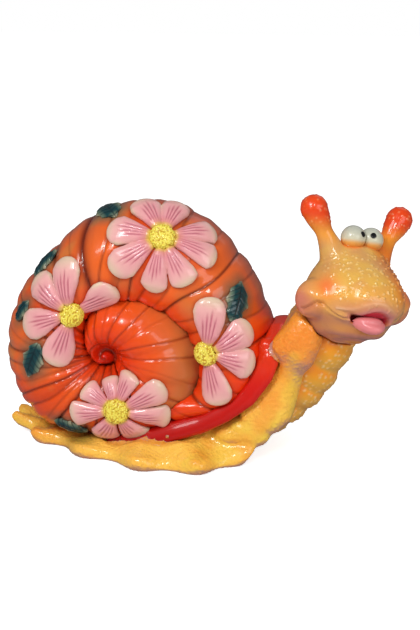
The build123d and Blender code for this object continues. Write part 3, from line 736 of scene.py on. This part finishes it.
mark(outer_whorl, "crest", smooth_step(1 - aside, 0, 0.9))
mark(outer_whorl, "low", 1 - smooth_step(place[:, 2], 40 * MM, 95 * MM))
mark(outer_whorl, "tone", 0.5 + 0.5 * np.sin(np.radians(turn) * 5 + 1))
place = points(inner_whorl)
mark(inner_whorl, "flower_shade", closeness(inner_whorl, flowers, FLOWER_SHADE_REACH))
mark(inner_whorl, "tone", coil_reach(place) / SPIRE_REACH)
mark(lip, "tone", smooth_step(points(lip)[:, 2], 20 * MM, 120 * MM))
# Darker red in the lip's hollows is painted shade.
mark(lip, "hollow", smooth_step(hollow(lip, LIP_ROUNDS), 0.1 * MM, 1.5 * MM))
print("masks on the outer whorl:", masks_of(outer_whorl))

# %% Masks on the body
BODY_ROUNDS = 24
SKIRT_SEAM, SKIRT_HAZE, NECK_SEAM = 9 * MM, 22 * MM, 7 * MM
sunk = hollow(skirt, BODY_ROUNDS)
mark(skirt, "rim", smooth_step(-sunk, 0.5 * MM, 2.2 * MM))
# Darker orange in the skirt's hollows is painted shade.
mark(skirt, "hollow", smooth_step(sunk, 0.3 * MM, 1.6 * MM))
mark(skirt, "tone", smooth_step(points(skirt)[:, 2], 4 * MM, 120 * MM))
# Mauve on the skirt's down-facing surfaces is painted shade.
mark(skirt, "underside_shade", smooth_step(-normals(skirt)[:, 2], 0.15, 0.6))
# Darker orange where the skirt meets the shell is painted shade under the shell's overhang.
mark(skirt, "seam", closeness(skirt, [outer_whorl, inner_whorl, lip], SKIRT_SEAM))
mark(skirt, "haze", closeness(skirt, leaves[5:6], SKIRT_HAZE))
print("deepest hollow of the skirt", round(sunk.max() / MM, 1), "mm")
sunk = hollow(neck, BODY_ROUNDS)
mark(neck, "tone", smooth_step(normals(neck)[:, 2], -0.7, 0.5))
# The neck's hollows between its rings get a darker painted shade.
mark(neck, "hollow", smooth_step(sunk, 0.1 * MM, 1.4 * MM))
# The neck's down-facing surfaces get a darker painted shade.
mark(neck, "underside_shade", smooth_step(-normals(neck)[:, 2], 0.25, 0.85))
mark(neck, "seam", closeness(neck, [head, skirt], NECK_SEAM))
print("masks on the skirt:", masks_of(skirt))

# %% [markdown]
# The head wears more coats than any other piece: a jaw in a browner tone, pink cheeks and
# lips, a bright blush by the smile, orange up the far side and red knobs. The creases get
# a dark wash and the warts pale tops, and a mauve painted shade lies under the chin.

# %% Masks on the head
BLUSH_AT, BLUSH_REACH = np.array((22, -40, 8)) * MM, 11 * MM
NEAR_CHEEK, NEAR_CHEEK_REACH = on_face([(0, -62, -10), (6, -62, -4)]), 17 * MM
FAR_CHEEK, FAR_CHEEK_REACH = on_face([(6, 60, -8), (8, 60, 0)]), 22 * MM
EYE_SOCKET, EYE_SEAM = 3 * MM, 2.5 * MM
local = face_place(head)
ahead, aside, above = local.T
down = -normals(head) @ np.array(FACE[2])
mark(head, "tone", smooth_step(above, -25 * MM, 45 * MM))
mark(head, "crease", np.maximum(route_mask(local, CHEEK_CREASE, 1.8 * MM),
                                route_mask(local, SMILE, 0.9 * MM)))
mark(head, "jaw", smooth_step(-above_smile(local), 0, 8 * MM))
# Under the chin, down-facing surfaces get a mauve painted shade.
mark(head, "underside_shade", smooth_step(down, 0.3, 0.9) * smooth_step(-above, 8 * MM, 24 * MM))
mark(head, "mouth", inside_mouth(local + np.array((POCKET_DEPTH, 0, 0))))
mark(head, "lips", route_mask(local, MOUTH_TOP, 5 * MM))
mark(head, "fold", route_mask(local, LIP_FOLD, 1.2 * MM))
mark(head, "bridge", route_mask(local, LIP_FOLD, 9 * MM))
mark(head, "blush", np.exp(-(np.linalg.norm(local - BLUSH_AT, axis=1) / BLUSH_REACH) ** 2))
mark(head, "cheek", np.maximum(route_mask(local, NEAR_CHEEK, NEAR_CHEEK_REACH),
                               route_mask(local, FAR_CHEEK, FAR_CHEEK_REACH)))
mark(head, "side", smooth_step(aside, -4 * MM, 30 * MM) * smooth_step(above, -10 * MM, 12 * MM))
stalk = smooth_step(above, 44 * MM, 60 * MM) * smooth_step(np.abs(aside), 22 * MM, 30 * MM)
mark(head, "horn", stalk)
mark(head, "knob", smooth_step(above, 58 * MM, 78 * MM))
mark(head, "seam", closeness(head, eyes, EYE_SOCKET))
for eye in eyes:
    mark(eye, "tone", smooth_step(face_place(eye)[:, 2], 46 * MM, 70 * MM))
    mark(eye, "seam", closeness(eye, [head], EYE_SEAM))
for piece in pupils + [mouth_lip]:
    mark(piece, "tone", np.full(len(piece.data.vertices), 0.5))
print("masks on the head:", masks_of(head))

# %% [markdown]
# Each paint lists its base colours along the tone mask, then its coats as mask, colour and
# strength. A later coat lies over the earlier ones, as under an airbrush.

# %% Paint every piece
# On both whorls, the darker red close round each flower is painted shade.
shell_paint = lacquered(
    "shell_paint", [(0, "D84A10"), (0.5, "E6601A"), (1, "D65E26")],
    [("seam", "EA3206", 0.95), ("low", "D83A0C", 0.6), ("crest", "96605A", 0.5),
     ("haze", "5E5A44", 0.75), ("stripe", "6E1A08", 0.85), ("flower_shade", "A8300F", 0.55),
     ("groove", "521206", 0.85)],
    cloud=0.3, patches=[("C07C3C", 22, 0.5)])
dress(outer_whorl, shell_paint)
swirl_paint = lacquered(
    "swirl_paint", [(0, "C81A04"), (0.22, "E63606"), (0.55, "DE5014"), (0.8, "C4703A"),
                    (1, "B0784A")],
    [("flower_shade", "B8401E", 0.5), ("groove", "8A2A10", 0.75)], cloud=0.08)
dress(inner_whorl, swirl_paint)
lip_paint = lacquered(
    "lip_paint", [(0, "B00C06"), (0.7, "C8140A"), (1, "D8300E")], [("hollow", "6E0806", 0.6)])
dress(lip, lip_paint)
petal_paint = lacquered(
    "petal_paint", [(0, "D8B44C"), (0.14, "D68C84"), (0.5, "DC9298"), (0.8, "E0A8A2"),
                    (1, "D6BEA2")],
    [("groove", "A8405A", 0.8)], cloud=0.1)
for piece in petals:
    dress(piece, petal_paint)
heart_paint = lacquered("heart_paint", [(0, "BC8E24"), (0.25, "DCC23C"), (1, "EADC5C")], grain=0.3)
for piece in hearts:
    dress(piece, heart_paint)
leaf_paint = lacquered(
    "leaf_paint", [(0, "0A2E34"), (0.45, "103C40"), (0.72, "5C6E5C"), (1, "A89C80")],
    [("groove", "051C24", 0.75)], cloud=0.12)
for piece in leaves:
    dress(piece, leaf_paint)
skirt_paint = lacquered(
    "skirt_paint", [(0, "F6BE4C"), (0.4, "F6BC4A"), (0.8, "F2A438"), (1, "EC8C30")],
    [("hollow", "E0A034", 0.4), ("rim", "F0922A", 0.6), ("seam", "C8641C", 0.6),
     ("haze", "5A5A30", 0.6), ("underside_shade", "B07A76", 0.8), ("fleck", "F4CE5A", 0.2)],
    cloud=0.3, patches=[("E0CC44", 18, 0.45), ("EA7E24", 24, 0.45)],
    grain=1.0, grain_scale=260, grain_depth=1.8)
dress(skirt, skirt_paint)
neck_paint = lacquered(
    "neck_paint", [(0, "DCA83C"), (0.5, "F0981E"), (1, "F07E20")],
    [("hollow", "B06A50", 0.6), ("underside_shade", "CC8844", 0.45), ("seam", "E89040", 0.5),
     ("fleck", "F4E4AC", 0.5)],
    cloud=0.25, patches=[("D8C04A", 22, 0.6)], grain=0.3)
dress(neck, neck_paint)
head_paint = lacquered(
    "head_paint", [(0, "CC8C4C"), (0.35, "E6A83C"), (0.6, "D89C4C"), (1, "CC9458")],
    [("side", "EC7008", 0.85), ("jaw", "C47C42", 0.8), ("cheek", "CC746A", 0.75),
     ("blush", "F0622A", 0.8), ("underside_shade", "A0646C", 0.7), ("horn", "EA942E", 0.8),
     ("knob", "E03008", 0.9), ("seam", "EE8C34", 0.7), ("crease", "8A4A46", 0.75),
     ("fleck", "F2DC98", 0.4), ("bridge", "CC8068", 0.5), ("lips", "C27478", 0.85),
     ("fold", "F0C8A8", 0.5), ("mouth", "C01C3C", 0.95)],
    cloud=0.2, patches=[("E2B648", 26, 0.5)], grain=0.35)
dress(head, head_paint)
mouth_paint = lacquered("mouth_paint", [(0, "D87078"), (1, "E28A88")])
dress(mouth_lip, mouth_paint)
# On the eyes the orange at the bottom is paint, and the grey towards the top is painted shade.
eye_paint = lacquered(
    "eye_paint", [(0, "E07A1E"), (0.22, "E0A050"), (0.42, "CCC6AC"), (1, "B4B6A8")],
    [("seam", "E88A3C", 0.5)], cloud=0.03)
for eye in eyes:
    dress(eye, eye_paint)
pupil_paint = lacquered("pupil_paint", [(0, "0A0A0C"), (1, "101014")])
for pupil in pupils:
    dress(pupil, pupil_paint)
print(len(bpy.data.materials), "materials, the CAD's own among them")

# %% [markdown]
# The wires and the rod are hidden inside the cast, but they keep a finish of their own:
# drawn steel with a fine mottle of greys.

# %% Drawn steel
STEEL_ROUGHNESS = 0.35
STREAK_SCALE = 900
steel = bpy.data.materials.new("drawn_steel")
steel.use_nodes = True
tree = steel.node_tree
shader = tree.nodes["Principled BSDF"]
shader.inputs["Metallic"].default_value = 1
shader.inputs["Roughness"].default_value = STEEL_ROUGHNESS
streaks = tree.nodes.new("ShaderNodeTexNoise")
streaks.inputs["Scale"].default_value = STREAK_SCALE
where = tree.nodes.new("ShaderNodeTexCoord")
tree.links.new(where.outputs["Object"], streaks.inputs["Vector"])
greys = tree.nodes.new("ShaderNodeValToRGB")
greys.color_ramp.elements[0].color = linear("8C8C8A")
greys.color_ramp.elements[1].color = linear("B9B9B6")
tree.links.new(streaks.outputs["Fac"], greys.inputs["Fac"])
tree.links.new(greys.outputs["Color"], shader.inputs["Base Color"])
for node in ("tentacle_wire_left", "tentacle_wire_right", "neck_rod"):
    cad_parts[node].data.materials.clear()
    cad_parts[node].data.materials.append(steel)
print("steel on two wires and a rod")

# %% [markdown]
# The studio is a white sheet under the snail. The sheet and the air behind it look white
# to the camera alone, so the background is clean and no light is added to the snail. In
# the lacquer's reflections both are darker, which keeps the paint's colour full out to
# the edges, where a curved gloss coat would otherwise mirror the white sheet.

# %% White paper on the floor
FLOOR_REACH = 6
PAPER_ROUGHNESS = 0.9
PAPER_WHITE, PAPER_MIRRORED = (0.85, 0.85, 0.85, 1), (0.2, 0.17, 0.17, 1)
PAPER_GLOW = 0.72
bm = bmesh.new()
bmesh.ops.create_grid(bm, x_segments=2, y_segments=2, size=FLOOR_REACH)
floor_mesh = bpy.data.meshes.new("floor")
bm.to_mesh(floor_mesh)
bm.free()
floor = new_object("floor", floor_mesh)
paper = bpy.data.materials.new("white_paper")
paper.use_nodes = True
tree = paper.node_tree
shader = tree.nodes["Principled BSDF"]
shader.inputs["Roughness"].default_value = PAPER_ROUGHNESS
rays = tree.nodes.new("ShaderNodeLightPath")
shade = tree.nodes.new("ShaderNodeMix")
shade.data_type = "RGBA"
shade.inputs["A"].default_value = PAPER_WHITE
shade.inputs["B"].default_value = PAPER_MIRRORED
tree.links.new(rays.outputs["Is Glossy Ray"], shade.inputs["Factor"])
tree.links.new(shade.outputs["Result"], shader.inputs["Base Color"])
glow = tree.nodes.new("ShaderNodeMath")
glow.operation = "MULTIPLY"
glow.inputs[1].default_value = PAPER_GLOW
tree.links.new(rays.outputs["Is Camera Ray"], glow.inputs[0])
shader.inputs["Emission Color"].default_value = (1, 1, 1, 1)
tree.links.new(glow.outputs[0], shader.inputs["Emission Strength"])
floor.data.materials.append(paper)
print("paper", 2 * FLOOR_REACH, "m wide")

# %% Air around the snail
AIR_LIGHT, AIR_MIRRORED, AIR_SEEN = 0.42, 0.1, 1.0
world = bpy.data.worlds.new("studio")
scene.world = world
world.use_nodes = True
tree = world.node_tree
air = tree.nodes["Background"]
rays = tree.nodes.new("ShaderNodeLightPath")
level = tree.nodes.new("ShaderNodeMix")
level.data_type = "FLOAT"
level.inputs["B"].default_value = AIR_SEEN
mirrored = tree.nodes.new("ShaderNodeMix")
mirrored.data_type = "FLOAT"
mirrored.inputs["A"].default_value = AIR_LIGHT
mirrored.inputs["B"].default_value = AIR_MIRRORED
tree.links.new(rays.outputs["Is Glossy Ray"], mirrored.inputs["Factor"])
tree.links.new(mirrored.outputs["Result"], level.inputs["A"])
tree.links.new(rays.outputs["Is Camera Ray"], level.inputs["Factor"])
tree.links.new(level.outputs["Result"], air.inputs["Strength"])
air.inputs["Color"].default_value = (1, 1, 1, 1)
print("air light", AIR_LIGHT)

# %% [markdown]
# A broad key light from the upper left shapes the forms and a fill from the right opens
# the shadows. Two small boxes show as bright panes in the lacquer, and a faint light
# from behind parts the snail from the sheet.

# %% Soft boxes
LIT_POINT = Vector((0, 0, 0.12))


def soft_box(name, place, size, power):
    lamp = bpy.data.lights.new(name, "AREA")
    lamp.size = size
    lamp.energy = power
    box = bpy.data.objects.new(name, lamp)
    scene.collection.objects.link(box)
    box.location = place
    box.rotation_euler = (LIT_POINT - Vector(place)).to_track_quat("-Z", "Y").to_euler()
    print(name, "of", power, "W")


soft_box("key", (-0.7, -1.3, 1.5), size=0.8, power=13)
soft_box("fill", (1.2, -1.1, 0.8), size=0.9, power=6.5)
soft_box("pane_left", (-0.35, -0.9, 1.0), size=0.2, power=3)
soft_box("pane_right", (0.25, -1.0, 1.0), size=0.18, power=2.5)
soft_box("rim", (0.4, 1.2, 1.2), size=0.8, power=0.8)

# %% [markdown]
# The camera stands a little to the right of the snail's side and above it, as in the
# photo. Its lens takes in the view's height at the snail, so that one pixel of the
# picture is about a millimetre there.

# %% Camera
CAMERA_DISTANCE = 1.3
SENSOR_WIDTH = 36
VIEW_HEIGHT = 630 * MM
AZIMUTH, ELEVATION = math.radians(10), math.radians(16)
AIM = Vector((3 * MM + SHIFT, 0, 134 * MM))
back = Vector((math.sin(AZIMUTH) * math.cos(ELEVATION),
               -math.cos(AZIMUTH) * math.cos(ELEVATION), math.sin(ELEVATION)))
camera = bpy.data.objects.new("camera", bpy.data.cameras.new("camera"))
scene.collection.objects.link(camera)
camera.location = AIM + back * CAMERA_DISTANCE
camera.rotation_euler = (-back).to_track_quat("-Z", "Y").to_euler()
camera.data.sensor_fit = "AUTO"
camera.data.sensor_width = SENSOR_WIDTH
camera.data.lens = SENSOR_WIDTH * CAMERA_DISTANCE / VIEW_HEIGHT
scene.camera = camera
print("lens", round(camera.data.lens, 2), "mm")
